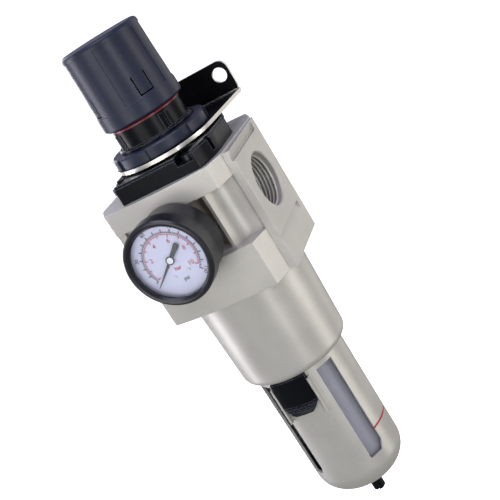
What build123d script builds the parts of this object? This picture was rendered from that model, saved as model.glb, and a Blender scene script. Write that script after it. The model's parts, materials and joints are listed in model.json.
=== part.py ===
"""Modular compressed-air filter regulator with gauge, wall bracket and metal bowl guard.

Millimetres, +Z up along the main axis, origin at the lower end of the drain nipple.
The outlet port faces +X, the gauge faces -Y and the bracket stands at +Y.
Heights below are counted from the axis of the two main ports.
"""

import os
from math import cos, radians, sin

from build123d import *

os.makedirs("parts", exist_ok=True)

# Driving dimensions
PORT_Z = 225.4  # port axis above the lower end of the drain nipple
FACE_TO_FACE = 90.0  # across the two port faces
PORT_R = 16.65  # major radius of a G1 thread
PORT_DEPTH = 18.0
THREAD_CHAMFER = 0.8
BODY_TOP = 31.4
BODY_UNDER_TOP = 17.8  # underside of the upper flange
BODY_LOW_TOP = -18.5  # upper face of the lower flange
BODY_LOW = -46.8  # underside of the lower flange
FRONT_CROWN = 44.5  # front face at its middle
FRONT_EDGE_X, FRONT_EDGE_Y = 34.5, 41.0  # outlet side of the front
SIDE_EDGE_X, SIDE_EDGE_Y = 40.5, 27.0
FAR_FRONT_X, FAR_FRONT_Y = 36.5, 41.5  # inlet side of the front
FAR_SIDE_X, FAR_SIDE_Y = 43.5, 28.0
SLAB_HALF_Y = 27.3
SLAB_THICK = 5.2
SLAB_STEP = 0.8  # port slabs end this far under the flange top
GROOVE_END_Y = 21.5
RIB_X = 22.3  # ribs beside the gauge recess
RIB_Y = 36.0
RECESS_HALF_X = 20.4
RECESS_Y = 24.0
COLLAR_TOP_R, COLLAR_R = 37.9, 36.2  # the collar tapers downwards
COLLAR_LOW, COLLAR_FILLET = -110.4, 5.0
COLLAR_BORE_R = 31.4
LOCK_RECESS_R, LOCK_RECESS_TOP = 33.0, -107.5  # the bowl lock's tongue runs in it
SEAL_BORE_R = 27.4
SEAT_R, SEAT_Z = 7.5, -14.0
STEM_R, GUIDE_CLEARANCE = 2.5, 0.06
GAUGE_HOLE_R = 6.65
SCREW_X, SCREW_Y = 24.0, 30.2
PLUNGE_R = 29.0  # diaphragm seat in the body's top

BONNET_FRONT_Y, BONNET_SIDE_X = 38.7, 37.2
BONNET_SHOULDER, BONNET_TOP_FLANGE = 41.4, 42.8
POCKET_LOW = 37.4
POCKET_NEAR, POCKET_FAR, POCKET_BACK, POCKET_SIDE = 18.9, 29.4, 24.4, 35.4
PLATE_SEAT_R = 28.5  # the bracket rests on it
NECK_R, NECK_RIB_R, NECK_TOP = 22.2, 22.8, 66.0
RING_R, RING_H = 22.0, 1.1
THREAD_R, THREAD_TOP = 24.6, 55.5
INNER_NECK_R, BONNET_ROOF = 19.0, 92.0
SPRING_ROOM_R = 16.5

PLATE_T = 2.3
BRACKET_Z = 43.9
BRACKET_HALF_X, BRACKET_BACK_Y = 40.3, 47.9
BRACKET_TOP = 67.0
BRACKET_HOLE_X, BRACKET_HOLE_Z, BRACKET_HOLE_R = 33.3, 58.7, 4.75
NUT_R, NUT_H, NUT_CHAMFER = 31.0, 7.0, 1.0
NUT_NOTCHES, NOTCH_W, NOTCH_DEPTH = 8, 5.0, 1.3

SCREW_PITCH, SCREW_TURNS = 1.5, 8
SCREW_R, RUNNING = 5.0, 0.06
HEX_R, HEX_CLEARANCE = 5.6, 0.1

KNOB_LOW, KNOB_TOP = 67.8, 116.6
KNOB_LOW_R, KNOB_TOP_R = 25.8, 24.8
KNOB_BORE_R = 23.3
GRIP_LOW, GRIP_TOP, GRIP_SINK = 77.5, 112.6, 0.45
HUB_LOW = 95.6  # the knob's hub clears the thrust collar when the knob is pushed in

GAUGE_R, GAUGE_FRONT = 25.8, -72.8
CASE_R, CASE_BACK = 24.0, -45.0
PINION_TEETH, SECTOR_TEETH, GEAR_MODULE = 10, 100, 0.24
SECTOR_PIVOT_Z = -(PINION_TEETH + SECTOR_TEETH) * GEAR_MODULE / 2
GEAR_Y = -58.0
ZERO_ANGLE = 219.0  # pointer at zero, from +X towards +Z
POINTER_TIP, POINTER_TAIL, HUB_DISC_R = 19.8, -11.6, 2.6
DIAL_SCREW_R, DIAL_SCREW_ANGLES = 11.1, (249.8, 302.8)

GUARD_R, GUARD_WALL = 30.2, 1.8
GUARD_TOP, GUARD_LOW, GUARD_FOOT = -101.0, -208.5, 16.5
LUG_R, LUG_GROOVE_R = 32.8, 33.2
WINDOW_W, WINDOW_TOP, WINDOW_LOW = 12.7, -114.6, -186.5
FIRST_WINDOW = 48  # degrees from the front
BOWL_R, BOWL_WALL, BOWL_FLANGE_R = 26.6, 2.4, 30.2
BOWL_LOW, BOWL_FOOT = -206.2, 18.0
BUTTON_HALF_W, BUTTON_TOP, BUTTON_LOW = 12.0, -111.2, -135.8
BUTTON_IN, BUTTON_OUT = GUARD_R + 0.3, GUARD_R + 3.0
BUTTON_GRIP_Z = -129.4  # upper end of the thumb ridges
NIPPLE_R = 4.15
SLOT_DEPTH = 1.5

PORTS = Plane(origin=(0, 0, PORT_Z), x_dir=(1, 0, 0), z_dir=(0, 0, 1))
MAIN = Plane(origin=(0, 0, PORT_Z), x_dir=(1, 0, 0), z_dir=(0, -1, 0))
PORT_AXIS = Axis((0, 0, PORT_Z), (1, 0, 0))
GAUGE_AXIS = Axis((0, 0, PORT_Z), (0, 1, 0))


def level(height):
    """Horizontal plane at a height above the port axis."""
    return PORTS.offset(height)


def across(y):
    """Upright plane facing the front, at a given Y: local x is X, local y is height over the port axis."""
    return MAIN.offset(-y)


def turned(*outline, mode=Mode.ADD):
    """Turn a (radius, height) outline about the main axis."""
    with BuildSketch(MAIN) as section:
        with BuildLine():
            Polyline(*outline, close=True)
        make_face()
    revolve(section.sketch, axis=Axis.Z, mode=mode)


def turned_on_gauge(*outline, mode=Mode.ADD):
    """Turn a (radius, y) outline about the gauge axis."""
    with BuildSketch(PORTS) as section:
        with BuildLine():
            Polyline(*outline, close=True)
        make_face()
    revolve(section.sketch, axis=GAUGE_AXIS, mode=mode)


def turned_on_ports(*outline, mode=Mode.ADD):
    """Turn an (x, radius) outline about the port axis."""
    with BuildSketch(PORTS) as section:
        with BuildLine():
            Polyline(*outline, close=True)
        make_face()
    revolve(section.sketch, axis=PORT_AXIS, mode=mode)


def tube(outer, inner, low, high, mode=Mode.ADD):
    """Ring or disc about the main axis."""
    with BuildSketch(level(low)) as section:
        Circle(outer)
        if inner:
            Circle(inner, mode=Mode.SUBTRACT)
    extrude(section.sketch, amount=high - low, mode=mode)


def prism(plan, low, high, mode=Mode.ADD):
    """Upright prism of a plan between two heights."""
    with BuildSketch(level(low)) as section:
        add(plan)
    extrude(section.sketch, amount=high - low, mode=mode)


def post(radius, x, y, low, high, mode=Mode.ADD):
    """Upright round post or hole beside the main axis."""
    with BuildSketch(level(low)) as section:
        with Locations((x, y)):
            Circle(radius)
    extrude(section.sketch, amount=high - low, mode=mode)


def block(x0, x1, y0, y1, low, high, mode=Mode.ADD):
    """Rectangular block between two corners."""
    with BuildSketch(level(low)) as section:
        with Locations(((x0 + x1) / 2, (y0 + y1) / 2)):
            Rectangle(abs(x1 - x0), abs(y1 - y0))
    extrude(section.sketch, amount=high - low, mode=mode)


def o_ring(mean, section_r, height):
    """Round-section ring about the main axis."""
    with BuildSketch(MAIN) as section:
        with Locations((mean, height)):
            Circle(section_r)
    revolve(section.sketch, axis=Axis.Z)


def coil(mean, wire, low, high, turns, x=0.0, y=0.0):
    """Helical compression spring standing on a height."""
    foot = PORT_Z + low
    with BuildLine() as path:
        Helix((high - low) / turns, high - low, mean, center=(x, y, foot))
    start = path.line @ 0
    with BuildSketch(Plane(origin=start, x_dir=(1, 0, 0), z_dir=path.line % 0)) as wire_end:
        Circle(wire)
    sweep(wire_end.sketch, path.line, is_frenet=True)


def round_footed(radius, low, high, foot):
    """Solid round bar whose lower rim is rounded: the outside or the inside of a bowl."""
    with BuildPart() as bar:
        with BuildSketch(level(low)):
            Circle(radius)
        extrude(amount=high - low)
        fillet(bar.edges().filter_by(GeomType.CIRCLE).sort_by(Axis.Z)[0], foot)
    return bar.part


def wedge(outer, centre, width, low, high, mode=Mode.ADD):
    """Sector of a disc; angles are degrees from the front, growing towards +X."""
    half = radians(width / 2)
    middle = radians(centre - 90)
    reach = outer / cos(half)
    with BuildSketch(level(low)) as section:
        with BuildLine():
            Polyline(
                (0, 0),
                (reach * cos(middle - half), reach * sin(middle - half)),
                (reach * cos(middle + half), reach * sin(middle + half)),
                close=True,
            )
        make_face()
        Circle(outer, mode=Mode.INTERSECT)
    extrude(section.sketch, amount=high - low, mode=mode)


def radial(centre, distance=0.0):
    """Upright plane whose normal leaves the axis at an angle from the front."""
    turn = radians(centre - 90)
    normal = Vector(cos(turn), sin(turn), 0)
    side = Vector(-sin(turn), cos(turn), 0)
    return Plane(origin=Vector(0, 0, PORT_Z) + normal * distance, x_dir=side, z_dir=normal)


def flange_plan():
    """Plan of the two body flanges: crowned front and back, angled corners."""
    with BuildSketch() as plan:
        with BuildLine():
            for way in (-1, 1):
                far_front = (FAR_FRONT_X * way, FAR_FRONT_Y * way)
                near_front = (-FRONT_EDGE_X * way, FRONT_EDGE_Y * way)
                near_side = (-SIDE_EDGE_X * way, SIDE_EDGE_Y * way)
                ThreePointArc(far_front, (0, FRONT_CROWN * way), near_front)
                Polyline(near_front, near_side, (-FAR_SIDE_X * way, -FAR_SIDE_Y * way))
                Line((-FAR_SIDE_X * way, -FAR_SIDE_Y * way), (-FAR_FRONT_X * way, -FAR_FRONT_Y * way))
        make_face()
    return plan.sketch


def waist_plan():
    """Plan of the body between its flanges: ribs beside the gauge and hollow flanks."""
    flank_x, flank_y = SIDE_EDGE_X - 0.5, 24.6
    hollow_x, hollow_y = 28.8, 27.4
    with BuildSketch() as plan:
        with BuildLine():
            for way in (-1, 1):
                front_rib, far_rib = (-RIB_X * way, -RIB_Y * way), (RIB_X * way, -RIB_Y * way)
                front_flank, rear_flank = (flank_x * way, -flank_y * way), (flank_x * way, flank_y * way)
                Line(front_rib, far_rib)
                ThreePointArc(far_rib, (hollow_x * way, -hollow_y * way), front_flank)
                Line(front_flank, rear_flank)
                ThreePointArc(rear_flank, (hollow_x * way, hollow_y * way), (RIB_X * way, RIB_Y * way))
        make_face()
    return plan.sketch


def bonnet_plan(grow=0.0):
    """Plan of the bonnet's clamping flange: two curved corners and two long angled ones."""
    with BuildSketch() as plan:
        with BuildLine():
            for way in (1, -1):
                front_far, front_near = (-23 * way, -BONNET_FRONT_Y * way), (31 * way, -BONNET_FRONT_Y * way)
                side_front, side_rear = (BONNET_SIDE_X * way, -12 * way), (BONNET_SIDE_X * way, 9 * way)
                Line(front_far, front_near)
                ThreePointArc(front_near, (35.5 * way, -28 * way), side_front)
                Polyline(side_front, side_rear, (23 * way, BONNET_FRONT_Y * way))
        make_face()
        if grow:
            offset(amount=grow)
    return plan.sketch


def save(piece, name):
    """Label a finished piece and write it."""
    piece.part.label = name
    export_step(piece.part, f"parts/{name}.step")


# ---------------------------------------------------------------- die-cast body
half = FACE_TO_FACE / 2
with BuildPart() as body:
    prism(flange_plan(), BODY_UNDER_TOP, BODY_TOP)
    prism(flange_plan(), BODY_LOW, BODY_LOW_TOP)
    prism(waist_plan(), BODY_LOW_TOP, BODY_UNDER_TOP)
    with BuildSketch(across(-60)) as gauge_recess:
        with Locations((0, 0)):
            RectangleRounded(2 * RECESS_HALF_X, BODY_UNDER_TOP - BODY_LOW_TOP, 1.5)
    extrude(gauge_recess.sketch, amount=-(60 - RECESS_Y), mode=Mode.SUBTRACT)
    with BuildSketch(across(60)) as rear_recess:
        with Locations((0, 0)):
            RectangleRounded(2 * RECESS_HALF_X, BODY_UNDER_TOP - BODY_LOW_TOP, 1.5)
    extrude(rear_recess.sketch, amount=60 - RECESS_Y, mode=Mode.SUBTRACT)
    for side in (-1, 1):
        block(side * (half - SLAB_THICK), side * half, -SLAB_HALF_Y, SLAB_HALF_Y, BODY_LOW, BODY_TOP - SLAB_STEP)
    turned((0, COLLAR_LOW), (COLLAR_R, COLLAR_LOW), (COLLAR_TOP_R, BODY_LOW), (0, BODY_LOW))
    rim = body.edges().filter_by(GeomType.CIRCLE).sort_by(Axis.Z)[0]
    fillet(rim, COLLAR_FILLET)
    # ramped clamp grooves in the two port faces, each closed at one end
    for side in (-1, 1):
        for deep, ramp in ((24.3, 6.0), (-26.0, -6.0)):
            with BuildSketch(Plane.XZ.offset(-GROOVE_END_Y * side)) as groove:
                with BuildLine():
                    Polyline(
                        (side * (half + 0.5), PORT_Z + deep), (side * (half - 1.7), PORT_Z + deep),
                        (side * (half - 1.7), PORT_Z + deep + ramp / 5), (side * half, PORT_Z + deep + ramp),
                        (side * (half + 0.5), PORT_Z + deep + ramp), close=True,
                    )
                make_face()
            extrude(groove.sketch, amount=side * (GROOVE_END_Y + SLAB_HALF_Y + 1), mode=Mode.SUBTRACT)
    # main ports
    for side in (-1, 1):
        turned_on_ports(
            (side * (half + 1), 0), (side * (half + 1), PORT_R + THREAD_CHAMFER + 1),
            (side * (half - THREAD_CHAMFER), PORT_R), (side * (half - PORT_DEPTH), PORT_R),
            (side * (half - PORT_DEPTH - 2), 11), (side * (half - PORT_DEPTH - 2), 0),
            mode=Mode.SUBTRACT,
        )
    turned_on_ports((11.5, 0), (11.5, 8.5), (27, 8.5), (27, 0), mode=Mode.SUBTRACT)
    post(6.5, -20.8, 0, -62.5, 3, mode=Mode.SUBTRACT)
    turned_on_ports((-27, 0), (-27, 8.5), (-18, 8.5), (-18, 0), mode=Mode.SUBTRACT)
    # valve chambers, filter room and bowl bores
    tube(PLUNGE_R, 0, BODY_TOP - 2, BODY_TOP + 1, mode=Mode.SUBTRACT)
    tube(25.5, 0, 21.5, BODY_TOP, mode=Mode.SUBTRACT)
    tube(12.5, 0, -8.0, 9.0, mode=Mode.SUBTRACT)
    tube(STEM_R + GUIDE_CLEARANCE, 0, 9.0, 22.0, mode=Mode.SUBTRACT)
    tube(SEAT_R, 0, SEAT_Z, -8.0, mode=Mode.SUBTRACT)
    tube(12.0, 0, -63.0, SEAT_Z, mode=Mode.SUBTRACT)
    tube(SEAL_BORE_R, 0, -97.0, -62.0, mode=Mode.SUBTRACT)
    tube(COLLAR_BORE_R, 0, COLLAR_LOW - 1, -96.5, mode=Mode.SUBTRACT)
    tube(LUG_GROOVE_R, 0, -104.5, -100.0, mode=Mode.SUBTRACT)
    tube(LOCK_RECESS_R, 0, COLLAR_LOW - 1, LOCK_RECESS_TOP, mode=Mode.SUBTRACT)
    for entry in (135, 255, 15):
        wedge(LUG_GROOVE_R + 0.2, entry, 26, COLLAR_LOW - 1, -101.5, mode=Mode.SUBTRACT)
    post(1.6, 10, 0, 5.0, 22.0, mode=Mode.SUBTRACT)
    # gauge ports, front and rear
    turned_on_gauge((0, -30), (GAUGE_HOLE_R, -30), (GAUGE_HOLE_R, -12), (0, -12), mode=Mode.SUBTRACT)
    turned_on_gauge((0, 30), (GAUGE_HOLE_R, 30), (GAUGE_HOLE_R, 12), (0, 12), mode=Mode.SUBTRACT)
    for x in (-SCREW_X, SCREW_X):
        for y in (-SCREW_Y, SCREW_Y):
            post(2.6, x, y, BODY_TOP - 11, BODY_TOP + 1, mode=Mode.SUBTRACT)
    # stop for the bowl lock, left of the lock button
    wedge(LOCK_RECESS_R + 0.1, -24, 8, COLLAR_LOW + 0.3, LOCK_RECESS_TOP + 0.1)
    tube(COLLAR_BORE_R, 0, COLLAR_LOW - 0.5, LOCK_RECESS_TOP + 0.2, mode=Mode.SUBTRACT)
save(body, "body")

# ---------------------------------------------------------------- bonnet and mounting
with BuildPart() as bonnet:
    prism(bonnet_plan(), BODY_TOP, BONNET_SHOULDER)
    prism(bonnet_plan(-0.8), BONNET_SHOULDER, BONNET_TOP_FLANGE)
    turned(
        (0, BONNET_SHOULDER), (PLATE_SEAT_R, BONNET_SHOULDER), (PLATE_SEAT_R, BRACKET_Z), (THREAD_R, BRACKET_Z),
        (THREAD_R, THREAD_TOP - 0.8), (THREAD_R - 0.8, THREAD_TOP), (NECK_R, THREAD_TOP), (NECK_R, NECK_TOP),
        (INNER_NECK_R, NECK_TOP), (INNER_NECK_R, BONNET_ROOF - 1), (INNER_NECK_R - 1, BONNET_ROOF),
        (0, BONNET_ROOF),
    )
    # paired guide ribs on the neck for the knob's lock
    for centre in range(50, 410, 90):
        for shift in (-5.5, 5.5):
            wedge(NECK_RIB_R, centre + shift, 7, THREAD_TOP, NECK_TOP - 1.5)
    turned(
        (0, BODY_TOP - 1), (25.5, BODY_TOP - 1), (25.5, 37.0), (SPRING_ROOM_R, 41.0),
        (SPRING_ROOM_R, 88.0), (0, 88.0), mode=Mode.SUBTRACT,
    )
    tube(SCREW_R + RUNNING, 0, 87.0, BONNET_ROOF + 1, mode=Mode.SUBTRACT)
    for key in (0, 180):
        wedge(17.9, key + 90, 20, 52.0, 86.0, mode=Mode.SUBTRACT)
    for x in (-SCREW_X, SCREW_X):
        for y in (-SCREW_Y, SCREW_Y):
            post(2.8, x, y, BODY_TOP - 1, 38.0, mode=Mode.SUBTRACT)
    # screw pockets, each open to the next side in turn, and the edge cut back on the inlet side
    for way in (-1, 1):
        block(POCKET_NEAR * way, POCKET_FAR * way, -POCKET_BACK * way, -45 * way,
              POCKET_LOW, BRACKET_Z + 1, mode=Mode.SUBTRACT)
        block(POCKET_NEAR * way, 45 * way, POCKET_BACK * way, POCKET_SIDE * way,
              POCKET_LOW, BRACKET_Z + 1, mode=Mode.SUBTRACT)
    block(-45, -27, -POCKET_BACK - 1, 20, 38.5, BRACKET_Z + 1, mode=Mode.SUBTRACT)
    block(34.6, 40, -25.4, -21.4, 34.0, BRACKET_Z, mode=Mode.SUBTRACT)
save(bonnet, "bonnet")

with BuildPart() as bonnet_screws:
    for x in (-SCREW_X, SCREW_X):
        for y in (-SCREW_Y, SCREW_Y):
            post(2.5, x, y, BODY_TOP - 10, POCKET_LOW + 0.2)
            post(4.3, x, y, POCKET_LOW, 40.8)
            with BuildSketch(level(38.6)) as hex_key:
                with Locations((x, y)):
                    RegularPolygon(2.3, 6)
            extrude(hex_key.sketch, amount=3, mode=Mode.SUBTRACT)
save(bonnet_screws, "bonnet_screws")

nut_low = BRACKET_Z + PLATE_T
nut_top = nut_low + NUT_H
with BuildPart() as panel_nut:
    turned(
        (THREAD_R + 0.05, nut_low), (NUT_R - 0.4, nut_low), (NUT_R, nut_low + 0.4), (NUT_R, nut_top - NUT_CHAMFER),
        (NUT_R - NUT_CHAMFER, nut_top), (THREAD_R + 0.05, nut_top),
    )
    with BuildSketch(level(nut_low - 1)) as notches:
        with PolarLocations(NUT_R, NUT_NOTCHES, start_angle=10):
            Rectangle(2 * NOTCH_DEPTH, NOTCH_W)
    extrude(notches.sketch, amount=NUT_H + 2, mode=Mode.SUBTRACT)
save(panel_nut, "panel_nut")

with BuildPart() as bracket:
    with BuildSketch(level(BRACKET_Z)) as plate_plan:
        with BuildLine():
            ThreePointArc((-31.8, -4), (-10, -30.6), (20, -29.8))
            ThreePointArc((20, -29.8), (29.3, -20), (34.2, -6))
            Polyline(
                (34.2, -6), (36, 10), (BRACKET_HALF_X, BRACKET_BACK_Y), (-BRACKET_HALF_X, BRACKET_BACK_Y),
                (-31.8, -4),
            )
        make_face()
        Circle(THREAD_R + 0.3, mode=Mode.SUBTRACT)
    extrude(plate_plan.sketch, amount=PLATE_T)
    with BuildSketch(across(BRACKET_BACK_Y - PLATE_T)) as wall_plate:
        with BuildLine():
            Polyline(
                (-BRACKET_HALF_X, BRACKET_Z), (BRACKET_HALF_X, BRACKET_Z), (BRACKET_HALF_X, BRACKET_TOP),
                (-BRACKET_HALF_X, BRACKET_TOP), close=True,
            )
        make_face()
        upper = wall_plate.vertices().group_by(Axis.Z)[-1]
        fillet(upper, 6)
        with Locations((-BRACKET_HOLE_X, BRACKET_HOLE_Z), (BRACKET_HOLE_X, BRACKET_HOLE_Z)):
            Circle(BRACKET_HOLE_R, mode=Mode.SUBTRACT)
    extrude(wall_plate.sketch, amount=-PLATE_T)
    bend = bracket.edges().filter_by(Axis.X).filter_by_position(Axis.Y, BRACKET_BACK_Y - 0.1, BRACKET_BACK_Y + 0.1)
    fillet(bend.sort_by(Axis.Z)[0], 2.6)
save(bracket, "bracket")

# ---------------------------------------------------------------- knob and adjusting screw
with BuildPart() as indicator_ring:
    turned((INNER_NECK_R + 0.1, NECK_TOP), (RING_R, NECK_TOP), (RING_R, NECK_TOP + RING_H - 0.3),
           (RING_R - 0.3, NECK_TOP + RING_H), (INNER_NECK_R + 0.1, NECK_TOP + RING_H))
save(indicator_ring, "indicator_ring")

hex_low = BONNET_ROOF
with BuildPart() as adjusting_screw:
    turned((0, 56), (SCREW_R - 0.8, 56), (SCREW_R, 56.8), (SCREW_R, 84.4), (9.0, 84.4), (9.0, 86.6),
           (SCREW_R, 86.6), (SCREW_R, hex_low), (0, hex_low))
    with BuildSketch(level(hex_low)) as drive_hex:
        RegularPolygon(HEX_R, 6)
    extrude(drive_hex.sketch, amount=12)
save(adjusting_screw, "adjusting_screw")

with BuildPart() as thrust_washer:
    tube(9.4, SCREW_R + RUNNING, 86.7, 87.9)
save(thrust_washer, "thrust_washer")

knob_profile = (
    (KNOB_LOW_R - 1.0, KNOB_LOW), (KNOB_LOW_R, KNOB_LOW + 1.2), (KNOB_LOW_R - 0.1, 76.0),
    (KNOB_LOW_R - 0.3, 76.8), (KNOB_LOW_R - 0.4, 85.0), (KNOB_TOP_R + 0.2, 97.0),
    (KNOB_TOP_R, KNOB_TOP - 3.0), (KNOB_TOP_R, KNOB_TOP),
)
with BuildPart() as knob:
    # four broad grip panels sink a little below the four ribs and the two rims
    turned((0, GRIP_LOW), *((r - GRIP_SINK, min(max(z, GRIP_LOW), GRIP_TOP)) for r, z in knob_profile[3:7]),
           (0, GRIP_TOP))
    tube(KNOB_TOP_R, 0, GRIP_TOP, KNOB_TOP)
    turned((0, KNOB_LOW), *knob_profile[:4], (KNOB_LOW_R - 0.35, GRIP_LOW), (0, GRIP_LOW))
    for centre in range(0, 360, 90):
        wedge(KNOB_LOW_R, centre, 22, GRIP_LOW, GRIP_TOP)
    turned((0, KNOB_LOW), *knob_profile, (0, KNOB_TOP), mode=Mode.INTERSECT)
    top_rim = knob.edges().filter_by(GeomType.CIRCLE).group_by(Axis.Z)[-1]
    fillet(top_rim, 2.6)
    tube(KNOB_BORE_R, 0, KNOB_LOW - 1, 76.5, mode=Mode.SUBTRACT)
    tube(19.8, 0, 76.0, HUB_LOW, mode=Mode.SUBTRACT)
    tube(20.4, 8.4, 93.5, 111.0, mode=Mode.SUBTRACT)
    with BuildSketch(radial(44, 24.0)) as dimple:
        with Locations((0, 103)):
            Circle(1.1)
    extrude(dimple.sketch, amount=3, mode=Mode.SUBTRACT)
    with BuildSketch(level(93.0)) as socket:
        RegularPolygon(HEX_R + HEX_CLEARANCE, 6)
    extrude(socket.sketch, amount=16.5, mode=Mode.SUBTRACT)
    # snap tabs, each freed by a U-shaped slot
    for centre in range(45, 405, 90):
        with BuildSketch(radial(centre, 18.0)) as tab_slot:
            with Locations((0, 84.2)):
                Rectangle(9.2, 11.8)
            with Locations((0, 85.2)):
                Rectangle(7.6, 12.2, mode=Mode.SUBTRACT)
        extrude(tab_slot.sketch, amount=10, mode=Mode.SUBTRACT)
save(knob, "knob")

# ---------------------------------------------------------------- regulating spring and diaphragm
with BuildPart() as spring_seat:
    turned((SCREW_R + RUNNING, 74), (15.8, 74), (15.8, 78), (9, 81), (SCREW_R + RUNNING, 81))
    for key in (0, 180):
        wedge(17.3, key + 90, 16, 74.0, 78.0)
    tube(SCREW_R + RUNNING, 0, 73.0, 82.0, mode=Mode.SUBTRACT)
save(spring_seat, "spring_seat")

with BuildPart() as regulating_spring:
    coil(12.6, 1.6, 35.1, 72.3, 5.5)
save(regulating_spring, "regulating_spring")

with BuildPart() as diaphragm:
    turned(
        (4.1, 29.55), (22.6, 29.55), (24.0, 28.4), (25.3, 29.45), (PLUNGE_R - 0.1, 29.45),
        (PLUNGE_R - 0.1, 31.35), (25.3, 31.35), (24.0, 30.2), (22.6, 31.35), (4.1, 31.35),
    )
save(diaphragm, "diaphragm")

with BuildPart() as spring_plate:
    turned(
        (4.1, 31.4), (21.5, 31.4), (21.5, 33.2), (10.4, 33.2), (10.4, 36.0), (8.6, 37.2), (4.1, 37.2),
    )
save(spring_plate, "spring_plate")

with BuildPart() as relief_seat:
    turned((0, 26.9), (9.0, 26.9), (9.0, 29.5), (4.0, 29.5), (4.0, 37.0), (1.2, 37.0), (1.2, 28.4), (0, 28.4))
save(relief_seat, "relief_seat")

# ---------------------------------------------------------------- valve
with BuildPart() as valve_stem:
    turned(
        (0, -41.0), (4.0, -41.0), (4.0, -19.0), (9.0, -19.0), (9.0, -16.9), (STEM_R, -16.9),
        (STEM_R, 25.8), (1.6, 26.85), (0, 26.85),
    )
save(valve_stem, "valve_stem")

with BuildPart() as valve_disc:
    tube(9.4, STEM_R + 0.02, -16.88, SEAT_Z - 0.03)
save(valve_disc, "valve_disc")

with BuildPart() as valve_guide:
    turned((4.0 + GUIDE_CLEARANCE, -44.0), (11.95, -44.0), (11.95, -40.2), (10.7, -40.2), (10.7, -37.4),
           (11.95, -37.4), (11.95, -35.0), (5.4, -35.0), (5.4, -29.0), (4.0 + GUIDE_CLEARANCE, -29.0))
    with BuildSketch(level(-45.0)) as flow_holes:
        with PolarLocations(8.0, 6):
            Circle(1.9)
    extrude(flow_holes.sketch, amount=12, mode=Mode.SUBTRACT)
save(valve_guide, "valve_guide")

with BuildPart() as valve_guide_o_ring:
    o_ring(11.34, 0.6, -38.8)
save(valve_guide_o_ring, "valve_guide_o_ring")

with BuildPart() as valve_spring:
    coil(6.8, 0.55, -34.3, -19.7, 5.5)
save(valve_spring, "valve_spring")

# ---------------------------------------------------------------- gauge
with BuildPart() as gauge_socket:
    turned_on_gauge((1.2, -14.0), (GAUGE_HOLE_R - 0.05, -14.0), (GAUGE_HOLE_R - 0.05, -24.0), (5.4, -24.0),
                    (5.4, -28.0), (1.2, -28.0))
    with BuildSketch(across(-28.0)) as wrench_hex:
        RegularPolygon(8.1, 6)
    extrude(wrench_hex.sketch, amount=18.8)
    with BuildSketch(across(-46.8)) as tube_block:
        with Locations((0, -8.2)):
            Rectangle(7.0, 21.5)
    extrude(tube_block.sketch, amount=3.6)
    turned_on_gauge((0, -13.0), (1.2, -13.0), (1.2, -49.5), (0, -49.5), mode=Mode.SUBTRACT)
save(gauge_socket, "gauge_socket")

with BuildPart() as gauge_case:
    turned_on_gauge((8.4, CASE_BACK), (CASE_R - 1.2, CASE_BACK), (CASE_R, CASE_BACK - 1.2), (CASE_R, -63.0),
                    (24.4, -63.0), (24.4, -65.4), (22.4, -65.4), (22.4, CASE_BACK - 1.6), (8.4, CASE_BACK - 1.6))
save(gauge_case, "gauge_case")

with BuildPart() as gauge_bezel:
    turned_on_gauge(
        (24.5, -61.6), (25.4, -61.6), (GAUGE_R, -62.2), (GAUGE_R, -71.4), (25.0, -72.5), (24.1, GAUGE_FRONT),
        (23.0, -72.5), (21.8, -71.0), (21.7, -69.7), (24.5, -69.7),
    )
save(gauge_bezel, "gauge_bezel")

with BuildPart() as gauge_lens:
    turned_on_gauge((0, -69.6), (0, -68.2), (24.4, -68.2), (24.4, -69.6))
save(gauge_lens, "gauge_lens")

with BuildPart() as gauge_dial:
    turned_on_gauge((1.0, -66.1), (1.0, -65.5), (24.3, -65.5), (24.3, -66.1))
save(gauge_dial, "gauge_dial")

with BuildPart() as dial_screws:
    for angle in DIAL_SCREW_ANGLES:
        with BuildSketch(across(-66.15)) as screw_head:
            with Locations((DIAL_SCREW_R * cos(radians(angle)), DIAL_SCREW_R * sin(radians(angle)))):
                Circle(1.15)
        extrude(screw_head.sketch, amount=0.5)
save(dial_screws, "dial_screws")

pointer_turn = Plane(
    origin=(0, -67.4, PORT_Z), x_dir=(cos(radians(ZERO_ANGLE)), 0, sin(radians(ZERO_ANGLE))), z_dir=(0, -1, 0)
)
with BuildPart() as gauge_pointer:
    with BuildSketch(pointer_turn) as needle:
        with BuildLine():
            Polyline(
                (POINTER_TAIL, -1.2), (POINTER_TAIL + 0.7, -1.7), (0, -0.95), (POINTER_TIP - 0.6, -0.18),
                (POINTER_TIP, 0), (POINTER_TIP - 0.6, 0.18), (0, 0.95), (POINTER_TAIL + 0.7, 1.7),
                (POINTER_TAIL, 1.2), close=True,
            )
        make_face()
        Circle(HUB_DISC_R)
        Circle(0.82, mode=Mode.SUBTRACT)
    extrude(needle.sketch, amount=0.35)
save(gauge_pointer, "gauge_pointer")

with BuildPart() as pointer_cap:
    turned_on_gauge((0, -68.05), (1.5, -68.05), (1.9, -67.9), (1.9, -67.78), (0, -67.78))
save(pointer_cap, "pointer_cap")


def gear_plan(teeth, module, cut_from=0.0, cut_to=360.0):
    """Plan of narrow straight-flanked teeth on a pitch circle, between two angles."""
    pitch_r = teeth * module / 2
    root_r = pitch_r - 1.05 * module
    tip_r = pitch_r + 0.75 * module
    step = 360.0 / teeth
    with BuildSketch() as plan:
        Circle(root_r)
        first = int(cut_from // step) + 1
        last = int(cut_to // step)
        for tooth in range(first, last + 1):
            with BuildLine() as flank:
                angle = radians(tooth * step)
                foot = 0.62 * module
                tip = 0.30 * module
                out = Vector(cos(angle), sin(angle))
                side = Vector(-sin(angle), cos(angle))
                Polyline(
                    out * (root_r - 0.2) - side * foot, out * tip_r - side * tip,
                    out * tip_r + side * tip, out * (root_r - 0.2) + side * foot, close=True,
                )
            make_face()
    return plan.sketch


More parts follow.
